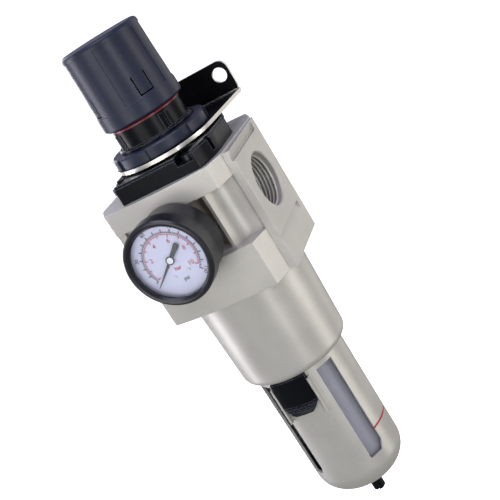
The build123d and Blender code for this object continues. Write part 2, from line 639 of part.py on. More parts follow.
with BuildPart() as pointer_arbor:
    turned_on_gauge((0, -67.7), (0.8, -67.7), (0.8, -59.4), (0.55, -59.4), (0.55, -50.7), (0, -50.7))
    with BuildSketch(across(GEAR_Y - 1.2)) as pinion_plan:
        add(gear_plan(PINION_TEETH, GEAR_MODULE).rotate(Axis.Z, 360 / PINION_TEETH / 2 + 90))
    extrude(pinion_plan.sketch, amount=-2.4)
save(pointer_arbor, "pointer_arbor")

with BuildPart() as sector_gear:
    with BuildSketch(across(GEAR_Y - 0.6)) as sector_plan:
        with Locations((0, SECTOR_PIVOT_Z)):
            add(gear_plan(SECTOR_TEETH, GEAR_MODULE, 66.0, 132.0))
        with BuildLine():
            reach = SECTOR_TEETH * GEAR_MODULE
            Polyline(
                (0, SECTOR_PIVOT_Z - 2.6),
                (reach * cos(radians(64)), SECTOR_PIVOT_Z + reach * sin(radians(64))),
                (reach * cos(radians(134)), SECTOR_PIVOT_Z + reach * sin(radians(134))),
                close=True,
            )
        make_face(mode=Mode.INTERSECT)
        with Locations((0, SECTOR_PIVOT_Z)):
            Circle(2.2)
            Circle(0.86, mode=Mode.SUBTRACT)
    extrude(sector_plan.sketch, amount=-1.2)
save(sector_gear, "sector_gear")

with BuildPart() as movement_frame:
    for plate_y in (-64.4, -51.6):
        with BuildSketch(across(plate_y)) as movement_plate:
            with Locations((0, -5.2)):
                RectangleRounded(14.0, 24.0, 2.5)
            Circle(0.9 if plate_y < -60 else 0.62, mode=Mode.SUBTRACT)
        extrude(movement_plate.sketch, amount=-1.0)
    for x in (-5.2, 5.2):
        with BuildSketch(across(-63.5)) as pillars:
            with Locations((x, -15.4)):
                Circle(1.1)
        extrude(pillars.sketch, amount=-12.0)
    with BuildSketch(across(-63.5)) as sector_pin:
        with Locations((0, SECTOR_PIVOT_Z)):
            Circle(0.8)
    extrude(sector_pin.sketch, amount=-12.0)
save(movement_frame, "movement_frame")

tube_start = radians(-75.5)
tube_plane = Plane(
    origin=(0, 0, PORT_Z), x_dir=(cos(tube_start), 0, sin(tube_start)), z_dir=(-sin(tube_start), 0, cos(tube_start))
)
with BuildPart() as bourdon_tube:
    with BuildSketch(tube_plane) as tube_section:
        with Locations((17.6, -48.6)):
            Ellipse(1.1, 1.9)
            Ellipse(0.7, 1.5, mode=Mode.SUBTRACT)
    revolve(tube_section.sketch, axis=GAUGE_AXIS, revolution_arc=-235)
save(bourdon_tube, "bourdon_tube")

with BuildPart() as rear_plug:
    turned_on_gauge((0, 14.0), (GAUGE_HOLE_R - 0.05, 14.0), (GAUGE_HOLE_R - 0.05, RECESS_Y + 0.05),
                    (9.0, RECESS_Y + 0.05), (9.0, 27.4), (8.2, 28.2), (0, 28.2))
    with BuildSketch(across(29.0)) as plug_key:
        RegularPolygon(3.5, 6)
    extrude(plug_key.sketch, amount=4.6, mode=Mode.SUBTRACT)
save(rear_plug, "rear_plug")

# ---------------------------------------------------------------- filter
with BuildPart() as deflector:
    turned((5.6, -66.4), (20.0, -66.4), (22.6, -69.0), (22.6, -71.0), (16.0, -71.0), (12.0, -69.8), (5.6, -69.8))
    for vane in range(12):
        with BuildSketch(radial(vane * 30, 15.5)) as vane_face:
            with BuildLine():
                Polyline((-2.6, -70.8), (-1.4, -70.8), (2.6, -76.0), (1.4, -76.0), close=True)
            make_face()
        extrude(vane_face.sketch, amount=6.8)
    tube(22.6, 21.2, -76.0, -70.9)
save(deflector, "deflector")

with BuildPart() as element_stud:
    turned((6.2, -52.0), (11.8, -52.0), (11.8, -66.3), (5.4, -66.3), (5.4, -71.5), (4.9, -71.5), (4.9, -66.3))
    turned((1.6, -135.8), (3.0, -135.8), (3.0, -71.0), (5.4, -71.0), (5.4, -66.0), (4.4, -66.0), (4.4, -69.0),
           (1.6, -69.0))
save(element_stud, "element_stud")

with BuildPart() as filter_element:
    tube(15.4, 10.4, -130.0, -71.1)
save(filter_element, "filter_element")

with BuildPart() as baffle:
    turned((3.1, -130.1), (15.6, -130.1), (19.4, -134.0), (19.4, -136.0), (8.6, -139.6), (7.0, -158.0),
           (3.4, -158.0), (3.4, -137.0), (3.1, -137.0))
save(baffle, "baffle")

# ---------------------------------------------------------------- bowl unit
with BuildPart() as bowl:
    add(round_footed(BOWL_R, BOWL_LOW, -80.0, BOWL_FOOT))
    tube(BOWL_FLANGE_R, 0, -100.9, -97.6)
    add(round_footed(BOWL_R - BOWL_WALL, BOWL_LOW + BOWL_WALL, -79.0, BOWL_FOOT - BOWL_WALL), mode=Mode.SUBTRACT)
    tube(BOWL_R + 1, 25.2, -90.0, -87.0, mode=Mode.SUBTRACT)
    tube(6.0, 0, BOWL_LOW - 1, BOWL_LOW + 5, mode=Mode.SUBTRACT)
save(bowl, "bowl")

with BuildPart() as bowl_o_ring:
    o_ring(26.28, 1.05, -88.5)
save(bowl_o_ring, "bowl_o_ring")

with BuildPart() as bowl_guard:
    add(round_footed(GUARD_R, GUARD_LOW, GUARD_TOP, GUARD_FOOT))
    for lug in (90, 210, 330):
        wedge(LUG_R, lug, 18, -104.1, GUARD_TOP)
    for x in (-BUTTON_HALF_W - 0.9, BUTTON_HALF_W + 0.9):
        block(x - 0.6, x + 0.6, -GUARD_R - 1.2, -GUARD_R + 3.6, -141.0, -114.5)
    # peg that carries the lock button's spring
    block(-1.2, 1.2, -GUARD_R - 2.0, -GUARD_R + 1.4, -131.0, -129.6)
    add(round_footed(GUARD_R - GUARD_WALL, GUARD_LOW + GUARD_WALL, GUARD_TOP + 1, GUARD_FOOT - GUARD_WALL),
        mode=Mode.SUBTRACT)
    tube(5.6, 0, GUARD_LOW - 1, GUARD_LOW + 4, mode=Mode.SUBTRACT)
    for centre in range(FIRST_WINDOW, FIRST_WINDOW + 360, 90):
        with BuildSketch(radial(centre, 15.0)) as window:
            with BuildLine():
                Polyline(
                    (-WINDOW_W / 2, WINDOW_TOP), (WINDOW_W / 2, WINDOW_TOP), (WINDOW_W / 2, WINDOW_LOW + 5.5),
                    (WINDOW_W / 2 - 3.0, WINDOW_LOW), (0.8 - WINDOW_W / 2, WINDOW_LOW),
                    (-WINDOW_W / 2, WINDOW_LOW + 0.8), close=True,
                )
            make_face()
        extrude(window.sketch, amount=20, mode=Mode.SUBTRACT)
save(bowl_guard, "bowl_guard")

with BuildPart() as lock_button:
    tube(BUTTON_OUT, BUTTON_IN, BUTTON_GRIP_Z - 1.1, BUTTON_TOP)
    turned(
        (BUTTON_IN, BUTTON_LOW), (GUARD_R + 4.0, BUTTON_LOW), (GUARD_R + 4.4, -134.6), (GUARD_R + 4.0, -133.6),
        (GUARD_R + 3.3, -133.4), (GUARD_R + 4.0, -133.0), (GUARD_R + 4.2, -132.0), (GUARD_R + 3.4, -131.2),
        (GUARD_R + 3.8, -130.4), (BUTTON_OUT, BUTTON_GRIP_Z), (BUTTON_IN, BUTTON_GRIP_Z),
    )
    with BuildSketch(across(-20.0)) as button_face:
        with BuildLine():
            Polyline((-BUTTON_HALF_W, -129.0), (-BUTTON_HALF_W, BUTTON_TOP), (BUTTON_HALF_W, BUTTON_TOP),
                     (BUTTON_HALF_W, -129.0))
            ThreePointArc((BUTTON_HALF_W, -129.0), (0, BUTTON_LOW - 1.4), (-BUTTON_HALF_W, -129.0))
        make_face()
    extrude(button_face.sketch, amount=20, mode=Mode.INTERSECT)
    block(-4.5, 4.5, -GUARD_R - 2.0, -GUARD_R - 0.4, BUTTON_TOP - 1, BUTTON_TOP + 3.0)
    # pocket for the spring and for the peg under it
    block(-1.5, 1.5, -GUARD_R - 2.6, -GUARD_R + 0.5, -131.5, -117.0, mode=Mode.SUBTRACT)
save(lock_button, "lock_button")

with BuildPart() as button_spring:
    coil(0.75, 0.2, -129.3, -117.3, 9, 0.0, -GUARD_R - 1.35)
save(button_spring, "button_spring")

with BuildPart() as drain_seat:
    turned(
        (2.96, BOWL_LOW + 0.2), (5.9, BOWL_LOW + 0.2), (5.9, BOWL_LOW + BOWL_WALL + 0.05),
        (8.4, BOWL_LOW + BOWL_WALL + 0.05), (8.4, BOWL_LOW + 6.0), (6.0, BOWL_LOW + 8.0), (2.96, BOWL_LOW + 8.0),
    )
save(drain_seat, "drain_seat")

with BuildPart() as drain_cock:
    turned(
        (0, -PORT_Z), (NIPPLE_R - 0.9, -PORT_Z), (NIPPLE_R, 0.9 - PORT_Z), (NIPPLE_R, GUARD_LOW - 3.1),
        (5.1, GUARD_LOW - 2.4), (5.1, GUARD_LOW - 0.7), (3.6, GUARD_LOW - 0.7), (3.6, BOWL_LOW - 0.4),
        (2.9, BOWL_LOW - 0.2), (2.9, BOWL_LOW + 6.8), (2.3, BOWL_LOW + 7.4), (0, BOWL_LOW + 7.4),
    )
    block(-0.7, 0.7, -6, 6, -PORT_Z - 1, SLOT_DEPTH - PORT_Z, mode=Mode.SUBTRACT)
    tube(1.3, 0, -PORT_Z - 1, BOWL_LOW + 4, mode=Mode.SUBTRACT)
save(drain_cock, "drain_cock")
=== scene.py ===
"""Looks of a compressed-air filter regulator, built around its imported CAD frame.

The main axis is Z, the outlet port faces +X, the gauge faces -Y and the wall bracket +Y.
Sizes in the classes are millimetres; heights there count from the axis of the two ports.
"""

import json
import logging
import math
from dataclasses import dataclass
from enum import Enum

import bmesh
import bpy
from mathutils import Matrix, Vector


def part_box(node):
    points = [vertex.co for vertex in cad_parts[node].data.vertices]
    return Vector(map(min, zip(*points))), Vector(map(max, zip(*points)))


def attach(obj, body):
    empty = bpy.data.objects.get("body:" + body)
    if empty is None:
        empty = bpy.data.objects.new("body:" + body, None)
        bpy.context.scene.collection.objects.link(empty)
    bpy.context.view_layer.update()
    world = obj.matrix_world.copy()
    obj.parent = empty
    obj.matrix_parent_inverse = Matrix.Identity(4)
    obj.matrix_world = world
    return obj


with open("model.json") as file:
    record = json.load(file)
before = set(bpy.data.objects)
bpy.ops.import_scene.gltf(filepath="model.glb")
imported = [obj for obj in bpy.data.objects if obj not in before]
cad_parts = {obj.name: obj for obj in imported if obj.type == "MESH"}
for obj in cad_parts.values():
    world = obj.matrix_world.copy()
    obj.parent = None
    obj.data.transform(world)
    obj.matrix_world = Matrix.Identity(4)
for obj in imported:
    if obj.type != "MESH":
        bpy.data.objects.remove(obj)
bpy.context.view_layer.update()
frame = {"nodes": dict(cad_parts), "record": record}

MM = 0.001
PORT_HEIGHT = next(m["pos_m"][2] for m in frame["record"]["mounts"] if m["name"] == "outlet_port")

logging.basicConfig(level=logging.INFO, format="%(message)s")
log = logging.getLogger("regulator")

Colour = tuple[float, float, float, float]


class Body(Enum):
    """The CAD bodies that new pieces ride on."""

    REGULATOR = "regulator"
    BOWL_UNIT = "bowl_unit"


class Slot(Enum):
    """The record's material slots that new pieces take their finish from."""

    CAST_PAINT = "cast_paint"
    RED_PLASTIC = "red_plastic"
    POINTER_BLACK = "pointer_black"


class Port(Enum):
    """The two pipe ports, by the side of the body that they open on."""

    OUTLET = 1
    INLET = -1


def linear(code: str) -> Colour:
    """Turns an sRGB hex colour into the linear colour that Blender's sockets take.

    Args:
        code: Six hex digits, such as "B9B6AD".

    Returns:
        Linear red, green and blue, with an alpha of 1.
    """
    channels = [int(code[i:i + 2], 16) / 255 for i in (0, 2, 4)]
    straight = [c / 12.92 if c <= 0.04045 else ((c + 0.055) / 1.055) ** 2.4 for c in channels]
    return (*straight, 1.0)


def per_mm(size: float) -> float:
    """The texture scale whose features are about that many millimetres across."""
    return 1 / (size * MM)


def height(above_port: float) -> float:
    """Height in the frame, in metres, of a level in millimetres above the port axis."""
    return PORT_HEIGHT + above_port * MM


def add_node(tree: bpy.types.NodeTree, kind: str, settings: dict | None = None,
             sockets: dict | None = None) -> bpy.types.Node:
    """Adds a node to a tree, sets it up and links it.

    Args:
        tree: The node tree.
        kind: The node's type name.
        settings: Values of the node's own attributes, by name.
        sockets: Input sockets by name or number, each with a value or an output socket to link.

    Returns:
        The new node.
    """
    node = tree.nodes.new(kind)
    for name, value in (settings or {}).items():
        setattr(node, name, value)
    for key, value in (sockets or {}).items():
        if isinstance(value, bpy.types.NodeSocket):
            tree.links.new(value, node.inputs[key])
        else:
            node.inputs[key].default_value = value
    return node


# Mix nodes hold one set of sockets for each kind of value, so their sockets go by number.
MIX_FACTOR, MIX_NUMBER_A, MIX_NUMBER_B, MIX_COLOUR_A, MIX_COLOUR_B = 0, 2, 3, 6, 7
MIX_NUMBER, MIX_COLOUR = 0, 2

# How well the softened normal matches the surface's own, where a corner starts and at its middle; the painted
# corner highlight runs between the two.
FLAT_MATCH, CORNER_MATCH = 0.995, 0.9
BEVEL_SAMPLES = 4


@dataclass(frozen=True)
class Finish:
    """What every finish shares: its name, its plain values and how its material starts.

    Attributes:
        title: Name of the real material.
        base: Its colour, as sRGB hex.
        roughness: Microfacet roughness.
        metallic: 1 for bare metal, between for metallic paint.
        edge: Radius in millimetres that corners look rounded to, 0 for none.
    """

    title: str
    base: str
    roughness: float
    metallic: float = 0.0
    edge: float = 0.15

    def material(self) -> bpy.types.Material:
        """Makes the material, or finds it if it was made before.

        Returns:
            The node material of this finish.
        """
        found = bpy.data.materials.get(self.title)
        if found:
            return found
        made = bpy.data.materials.new(self.title)
        made.use_nodes = True
        tree = made.node_tree
        shader = tree.nodes["Principled BSDF"]
        shader.inputs["Base Color"].default_value = linear(self.base)
        shader.inputs["Roughness"].default_value = self.roughness
        shader.inputs["Metallic"].default_value = self.metallic
        place = add_node(tree, "ShaderNodeTexCoord").outputs["Object"]
        self.wire(tree, shader, place)
        return made

    def rounded(self, tree: bpy.types.NodeTree) -> bpy.types.NodeSocket:
        """The normal with corners softened by the finish's edge radius."""
        bevel = add_node(tree, "ShaderNodeBevel", {"samples": BEVEL_SAMPLES}, {"Radius": self.edge * MM})
        return bevel.outputs["Normal"]

    def rubbed_edges(self, tree: bpy.types.NodeTree, shader: bpy.types.Node, normal: bpy.types.NodeSocket,
                     bright: str) -> None:
        """Paints a highlight on the corners: a lighter colour over the colour linked so far.

        Args:
            tree: The material's node tree.
            shader: The material's shader.
            normal: The normal with softened corners.
            bright: Colour of the painted corner highlight, as sRGB hex.
        """
        flat = add_node(tree, "ShaderNodeNewGeometry").outputs["Normal"]
        match = add_node(tree, "ShaderNodeVectorMath", {"operation": "DOT_PRODUCT"}, {0: flat, 1: normal})
        # Mask of the painted highlight: 0 on flat faces, 1 at the middle of a corner.
        corner = add_node(tree, "ShaderNodeMapRange", None,
                          {"Value": match.outputs["Value"], "From Min": FLAT_MATCH, "From Max": CORNER_MATCH})
        plain = shader.inputs["Base Color"].links[0].from_socket
        mix = add_node(tree, "ShaderNodeMix", {"data_type": "RGBA"},
                       {MIX_FACTOR: corner.outputs["Result"], MIX_COLOUR_A: plain,
                        MIX_COLOUR_B: linear(bright)})
        tree.links.new(mix.outputs[MIX_COLOUR], shader.inputs["Base Color"])

    def noise(self, tree: bpy.types.NodeTree, place: bpy.types.NodeSocket, size: float,
              detail: float = 2.0) -> bpy.types.NodeSocket:
        """Noise whose features are a given size.

        Args:
            tree: The material's node tree.
            place: The coordinates.
            size: Feature size in millimetres.
            detail: Octaves of finer noise on top.

        Returns:
            The noise value, from 0 to 1.
        """
        node = add_node(tree, "ShaderNodeTexNoise", None,
                        {"Vector": place, "Scale": per_mm(size), "Detail": detail})
        return node.outputs["Fac"]

    def tint(self, tree: bpy.types.NodeTree, shader: bpy.types.Node, factor: bpy.types.NodeSocket,
             low: str, high: str) -> bpy.types.Node:
        """Mixes two colours by a pattern and links them to the shader's base colour.

        Args:
            tree: The material's node tree.
            shader: The material's shader.
            factor: The pattern, from 0 to 1.
            low: Colour where the pattern is 0, as sRGB hex.
            high: Colour where the pattern is 1, as sRGB hex.

        Returns:
            The mix node.
        """
        mix = add_node(tree, "ShaderNodeMix", {"data_type": "RGBA"},
                       {MIX_FACTOR: factor, MIX_COLOUR_A: linear(low), MIX_COLOUR_B: linear(high)})
        tree.links.new(mix.outputs[MIX_COLOUR], shader.inputs["Base Color"])
        return mix

    def relief(self, tree: bpy.types.NodeTree, shader: bpy.types.Node, pattern: bpy.types.NodeSocket,
               depth: float, normal: bpy.types.NodeSocket | None = None) -> bpy.types.NodeSocket:
        """Links a bump to the shader's normal.

        Args:
            tree: The material's node tree.
            shader: The material's shader.
            pattern: The height pattern, from 0 to 1.
            depth: Height of the relief in millimetres.
            normal: The normal under it, or None for the surface's own.

        Returns:
            The bumped normal.
        """
        sockets = {"Strength": 1.0, "Distance": depth * MM, "Height": pattern}
        if normal is not None:
            sockets["Normal"] = normal
        bump = add_node(tree, "ShaderNodeBump", None, sockets)
        tree.links.new(bump.outputs["Normal"], shader.inputs["Normal"])
        return bump.outputs["Normal"]

    def gloss(self, tree: bpy.types.NodeTree, shader: bpy.types.Node, factor: bpy.types.NodeSocket,
              low: float, high: float) -> None:
        """Varies the roughness by a pattern.

        Args:
            tree: The material's node tree.
            shader: The material's shader.
            factor: The pattern, from 0 to 1.
            low: Roughness where the pattern is 0.
            high: Roughness where the pattern is 1.
        """
        mix = add_node(tree, "ShaderNodeMix", {"data_type": "FLOAT"},
                       {MIX_FACTOR: factor, MIX_NUMBER_A: low, MIX_NUMBER_B: high})
        tree.links.new(mix.outputs[MIX_NUMBER], shader.inputs["Roughness"])

    def wire(self, tree: bpy.types.NodeTree, shader: bpy.types.Node, place: bpy.types.NodeSocket) -> None:
        """Adds the finish's own nodes.

        Args:
            tree: The material's node tree.
            shader: The material's shader.
            place: Object coordinates.
        """
        raise NotImplementedError


@dataclass(frozen=True)
class SatinEnamel(Finish):
    """Champagne-silver stoving enamel sprayed on a pressure die casting.

    Fine aluminium flake in the paint gives broad soft reflections, and the spray leaves a faint
    orange peel. The corners carry a painted highlight: a lighter colour for the light they catch.
    """

    shade: str = "ABA89F"
    corner: str = "E6E5E3"
    # Colour of the painted highlight on the corners.
    peel: float = 1.6
    peel_depth: float = 0.006
    flake: float = 0.5
    cloud: float = 28.0

    def wire(self, tree: bpy.types.NodeTree, shader: bpy.types.Node, place: bpy.types.NodeSocket) -> None:
        """Adds flake, cloud, orange peel and a painted highlight on the corners."""
        cloud = self.noise(tree, place, self.cloud)
        flake = self.noise(tree, place, self.flake, 0.0)
        both = add_node(tree, "ShaderNodeMix", {"data_type": "FLOAT"},
                        {MIX_FACTOR: 0.4, MIX_NUMBER_A: cloud, MIX_NUMBER_B: flake})
        self.tint(tree, shader, both.outputs[MIX_NUMBER], self.shade, self.base)
        self.gloss(tree, shader, flake, self.roughness - 0.05, self.roughness + 0.07)
        soft = self.rounded(tree)
        self.relief(tree, shader, self.noise(tree, place, self.peel), self.peel_depth, soft)
        # Painted highlight: the corners are coloured lighter, as if catching the light.
        self.rubbed_edges(tree, shader, soft, self.corner)
        shader.inputs["Coat Weight"].default_value = 0.15
        shader.inputs["Coat Roughness"].default_value = 0.25


@dataclass(frozen=True)
class GlassFilledNylon(Finish):
    """Black glass-filled nylon from a spark-eroded mould.

    The fibres near the skin give a faint blue-grey sheen in streaks along the flow, and the
    mould's fine grain keeps the highlights soft. The corners carry a painted highlight in a lighter colour.
    """

    streak: str = "1A1C26"
    grain: float = 0.45
    grain_depth: float = 0.008
    flow: float = 9.0
    specular: float = 0.3
    # Colour of the painted highlight on the corners.
    corner: str = "3C4150"

    def wire(self, tree: bpy.types.NodeTree, shader: bpy.types.Node, place: bpy.types.NodeSocket) -> None:
        """Adds flow streaks, grain and a painted highlight on the corners."""
        drawn = add_node(tree, "ShaderNodeMapping", None, {"Vector": place, "Scale": (1.0, 1.0, 0.2)})
        streaks = self.noise(tree, drawn.outputs["Vector"], self.flow, 5.0)
        self.tint(tree, shader, streaks, self.base, self.streak)
        self.gloss(tree, shader, streaks, self.roughness - 0.07, self.roughness + 0.09)
        soft = self.rounded(tree)
        self.relief(tree, shader, self.noise(tree, place, self.grain), self.grain_depth, soft)
        # Painted highlight: the corners are coloured lighter, as if catching the light.
        self.rubbed_edges(tree, shader, soft, self.corner)
        shader.inputs["Specular IOR Level"].default_value = self.specular


@dataclass(frozen=True)
class DippedSteel(Finish):
    """Pressed sheet steel dipped in satin black lacquer: even, slightly wavy and softly glossy.

    Attributes:
        wave: Width of the lacquer's waves in millimetres.
        wave_depth: Their height in millimetres.
        worn: Colour where the film is thin, as sRGB hex.
        specular: How strongly the dry film reflects; thin dip coats reflect less than a polished skin.
        coat: Weight of the glossy top of the film.
    """

    wave: float = 4.0
    wave_depth: float = 0.01
    worn: str = "15171F"
    specular: float = 0.4
    coat: float = 0.1

    def wire(self, tree: bpy.types.NodeTree, shader: bpy.types.Node, place: bpy.types.NodeSocket) -> None:
        """Adds the lacquer's waves and its slight cloudiness."""
        wave = self.noise(tree, place, self.wave)
        self.tint(tree, shader, wave, self.base, self.worn)
        self.gloss(tree, shader, wave, self.roughness - 0.06, self.roughness + 0.08)
        self.relief(tree, shader, wave, self.wave_depth, self.rounded(tree))
        shader.inputs["Specular IOR Level"].default_value = self.specular
        shader.inputs["Coat Weight"].default_value = self.coat
        shader.inputs["Coat Roughness"].default_value = 0.15


@dataclass(frozen=True)
class ShearedSteel(DippedSteel):
    """Black-coated steel strip that was sheared after coating, so that its cut edges are bright.

    Attributes:
        bend_height: Height in millimetres above the ports where the strip turns upwards.
        bare: Colour of the cut edges, as sRGB hex.
    """

    bend_height: float = 47.0
    bare: str = "D9D6CF"

    def wire(self, tree: bpy.types.NodeTree, shader: bpy.types.Node, place: bpy.types.NodeSocket) -> None:
        """Adds the lacquer, then bares the faces that look along the strip's own plane."""
        super().wire(tree, shader, place)
        facing = add_node(tree, "ShaderNodeTexCoord").outputs["Normal"]
        parts = add_node(tree, "ShaderNodeSeparateXYZ", None, {"Vector": facing}).outputs
        spot = add_node(tree, "ShaderNodeSeparateXYZ", None, {"Vector": place}).outputs
        upright = add_node(tree, "ShaderNodeMath", {"operation": "GREATER_THAN"},
                           {0: spot["Z"], 1: height(self.bend_height)}).outputs[0]
        side = add_node(tree, "ShaderNodeMath", {"operation": "ABSOLUTE"}, {0: parts["X"]}).outputs[0]
        front = add_node(tree, "ShaderNodeMath", {"operation": "MULTIPLY"}, {0: parts["Y"], 1: -1.0})
        top = add_node(tree, "ShaderNodeMix", {"data_type": "FLOAT"},
                       {MIX_FACTOR: upright, MIX_NUMBER_A: front.outputs[0], MIX_NUMBER_B: parts["Z"]})
        most = add_node(tree, "ShaderNodeMath", {"operation": "MAXIMUM"},
                        {0: side, 1: top.outputs[MIX_NUMBER]}).outputs[0]
        cut = add_node(tree, "ShaderNodeMath", {"operation": "GREATER_THAN"}, {0: most, 1: 0.6}).outputs[0]
        dark = shader.inputs["Base Color"].links[0].from_socket
        colour = add_node(tree, "ShaderNodeMix", {"data_type": "RGBA"},
                          {MIX_FACTOR: cut, MIX_COLOUR_A: dark, MIX_COLOUR_B: linear(self.bare)})
        tree.links.new(colour.outputs[MIX_COLOUR], shader.inputs["Base Color"])
        tree.links.new(cut, shader.inputs["Metallic"])


@dataclass(frozen=True)
class TurnedMetal(Finish):
    """Bare metal from a lathe or a wire die: fine tool marks round the part and a clean reflection."""

    dull: str = "8F8F93"
    marks: float = 0.25
    marks_depth: float = 0.004

    def wire(self, tree: bpy.types.NodeTree, shader: bpy.types.Node, place: bpy.types.NodeSocket) -> None:
        """Adds tool marks drawn out round the axis, and dull patches."""
        drawn = add_node(tree, "ShaderNodeMapping", None, {"Vector": place, "Scale": (0.15, 0.15, 1.0)})
        marks = self.noise(tree, drawn.outputs["Vector"], self.marks)
        patches = self.noise(tree, place, self.marks * 20)
        self.tint(tree, shader, patches, self.dull, self.base)
        self.gloss(tree, shader, patches, self.roughness - 0.05, self.roughness + 0.1)
        self.relief(tree, shader, marks, self.marks_depth, self.rounded(tree))


@dataclass(frozen=True)
class MouldedPlastic(Finish):
    """Plain moulded plastic with a polished skin: even colour, slight sink and a clear highlight."""

    deep: str = "8E0F22"
    sink: float = 6.0
    sink_depth: float = 0.01

    def wire(self, tree: bpy.types.NodeTree, shader: bpy.types.Node, place: bpy.types.NodeSocket) -> None:
        """Adds the colour's slight depth and the skin's sink."""
        sink = self.noise(tree, place, self.sink)
        self.tint(tree, shader, sink, self.deep, self.base)
        self.gloss(tree, shader, sink, self.roughness - 0.05, self.roughness + 0.06)
        self.relief(tree, shader, sink, self.sink_depth, self.rounded(tree))
        shader.inputs["Subsurface Weight"].default_value = 0.05
        shader.inputs["Subsurface Scale"].default_value = MM


@dataclass(frozen=True)
class NitrileRubber(Finish):
    """Moulded nitrile rubber: near black, matte, with a trace of bloom."""

    bloom: str = "2A2A2C"

    def wire(self, tree: bpy.types.NodeTree, shader: bpy.types.Node, place: bpy.types.NodeSocket) -> None:
        """Adds the bloom and a fine grain."""
        bloom = self.noise(tree, place, 5.0)
        self.tint(tree, shader, bloom, self.base, self.bloom)
        self.relief(tree, shader, self.noise(tree, place, 0.3), 0.01)
        shader.inputs["Sheen Weight"].default_value = 0.1


@dataclass(frozen=True)
class SinteredMedia(Finish):
    """Sintered polyethylene granules: white, chalky and open, with a pore between grains where painted shade
    darkens the colour.
    """

    # Colour of the painted shade in the pores between the granules.
    pore: str = "B9B8B2"
    grain: float = 0.5

    def wire(self, tree: bpy.types.NodeTree, shader: bpy.types.Node, place: bpy.types.NodeSocket) -> None:
        """Adds the granules, with painted shade darkening the pores between them."""
        cells = add_node(tree, "ShaderNodeTexVoronoi", None, {"Vector": place, "Scale": per_mm(self.grain)})
        grains = cells.outputs["Distance"]
        self.tint(tree, shader, grains, self.base, self.pore)
        self.relief(tree, shader, grains, -0.08)


@dataclass(frozen=True)
class DialEnamel(Finish):
    """White dial enamel on aluminium: cool white, smooth, with the faintest print haze."""

    haze: str = "D3D7EE"

    def wire(self, tree: bpy.types.NodeTree, shader: bpy.types.Node, place: bpy.types.NodeSocket) -> None:
        """Adds the haze and a slight waviness."""
        haze = self.noise(tree, place, 12.0)
        self.tint(tree, shader, haze, self.base, self.haze)
        self.relief(tree, shader, self.noise(tree, place, 2.0), 0.003)


@dataclass(frozen=True)
class PadPrint(Finish):
    """Pad-printed ink: flat colour, a little thin where the pad lifted first."""

    thin: str = "4A4A52"

    def wire(self, tree: bpy.types.NodeTree, shader: bpy.types.Node, place: bpy.types.NodeSocket) -> None:
        """Adds the uneven ink film."""
        film = self.noise(tree, place, 0.8)
        ramp = add_node(tree, "ShaderNodeMapRange", None,
                        {"Value": film, "From Min": 0.5, "From Max": 0.9})
        self.tint(tree, shader, ramp.outputs["Result"], self.base, self.thin)


@dataclass(frozen=True)
class ClearMoulding(Finish):
    """Moulded clear plastic: acrylic for the lens, polycarbonate for the bowl.

    Light passes almost straight through a wall this thin. The skin reflects sharply and the
    moulding leaves long soft waves.
    """

    ior: float = 1.49
    clear: float = 1.0
    wave: float = 14.0
    wave_depth: float = 0.02

    def wire(self, tree: bpy.types.NodeTree, shader: bpy.types.Node, place: bpy.types.NodeSocket) -> None:
        """Sets the glass values and adds the moulding's waves."""
        shader.inputs["IOR"].default_value = self.ior
        shader.inputs["Transmission Weight"].default_value = self.clear
        self.relief(tree, shader, self.noise(tree, place, self.wave), self.wave_depth)


class Finishes:
    """Every finish on the object, by what it coats."""

    # The enamel and both nylon finishes paint a lighter highlight colour on their corners.
    enamel = SatinEnamel("champagne_silver_stoving_enamel", "CCCAC3", 0.42, 0.5, 0.4, "A19F98")
    nylon = GlassFilledNylon("black_glass_filled_nylon", "181C2B", 0.36, 0.0, 0.25, "20263A")
    dense_nylon = GlassFilledNylon("black_bonnet_nylon", "050609", 0.26, 0.0, 0.35, "0A0C12",
                                   specular=0.12, corner="6A6E78")
    gauge_steel = DippedSteel("black_lacquered_pressed_steel", "0C0D12", 0.30, 0.0, 0.3)
    bracket_steel = ShearedSteel("black_coated_sheared_steel", "050506", 0.34, 0.0, 0.15,
                                 worn="0B0B0D", specular=0.12, coat=0.0)
    red = MouldedPlastic("red_acetal_moulding", "8E1226", 0.32, 0.0, 0.2, "6E0A1A")
    oxide = DippedSteel("black_oxide_steel", "08080A", 0.32, 0.0, 0.2)
    white = MouldedPlastic("white_acetal_moulding", "E6E6E8", 0.35, 0.0, 0.2, "D2D3D6")
    zinc = TurnedMetal("zinc_plated_steel", "C3C6CC", 0.3, 1.0, 0.1, "9A9CA2")
    wire = TurnedMetal("drawn_spring_steel", "8A8A8E", 0.35, 1.0, 0.05, "6C6C70")
    brass = TurnedMetal("turned_brass", "D4B16A", 0.28, 1.0, 0.1, "A98648")
    aluminium = TurnedMetal("turned_aluminium", "D2D2D4", 0.3, 1.0, 0.1, "AFAFB3")
    rubber = NitrileRubber("nitrile_rubber", "151516", 0.75)
    media = SinteredMedia("sintered_polyethylene", "ECEBE6", 0.85)
    dial = DialEnamel("dial_enamel", "C2C6DC", 0.4, haze="B8BCD6")
    black_ink = PadPrint("black_dial_print", "0A0A10", 0.5, thin="2A2A30")
    red_ink = PadPrint("red_dial_print", "A0182E", 0.5, thin="B4384A")
    pointer = DippedSteel("black_pointer_lacquer", "101014", 0.42, 0.0, 0.05)
    lens = ClearMoulding("clear_acrylic_lens", "FFFFFF", 0.02)
    bowl = ClearMoulding("smoked_polycarbonate", "C6C8D2", 0.08, ior=1.58, clear=0.62)


def dress(finish: Finish, *nodes: str) -> None:
    """Gives CAD nodes a finish.

    Args:
        finish: The finish.
        nodes: Names of the CAD nodes that take it.
    """
    for name in nodes:
        for held in frame["nodes"][name].material_slots:
            held.material = finish.material()
        log.info("dressed %s in %s", name, finish.title)


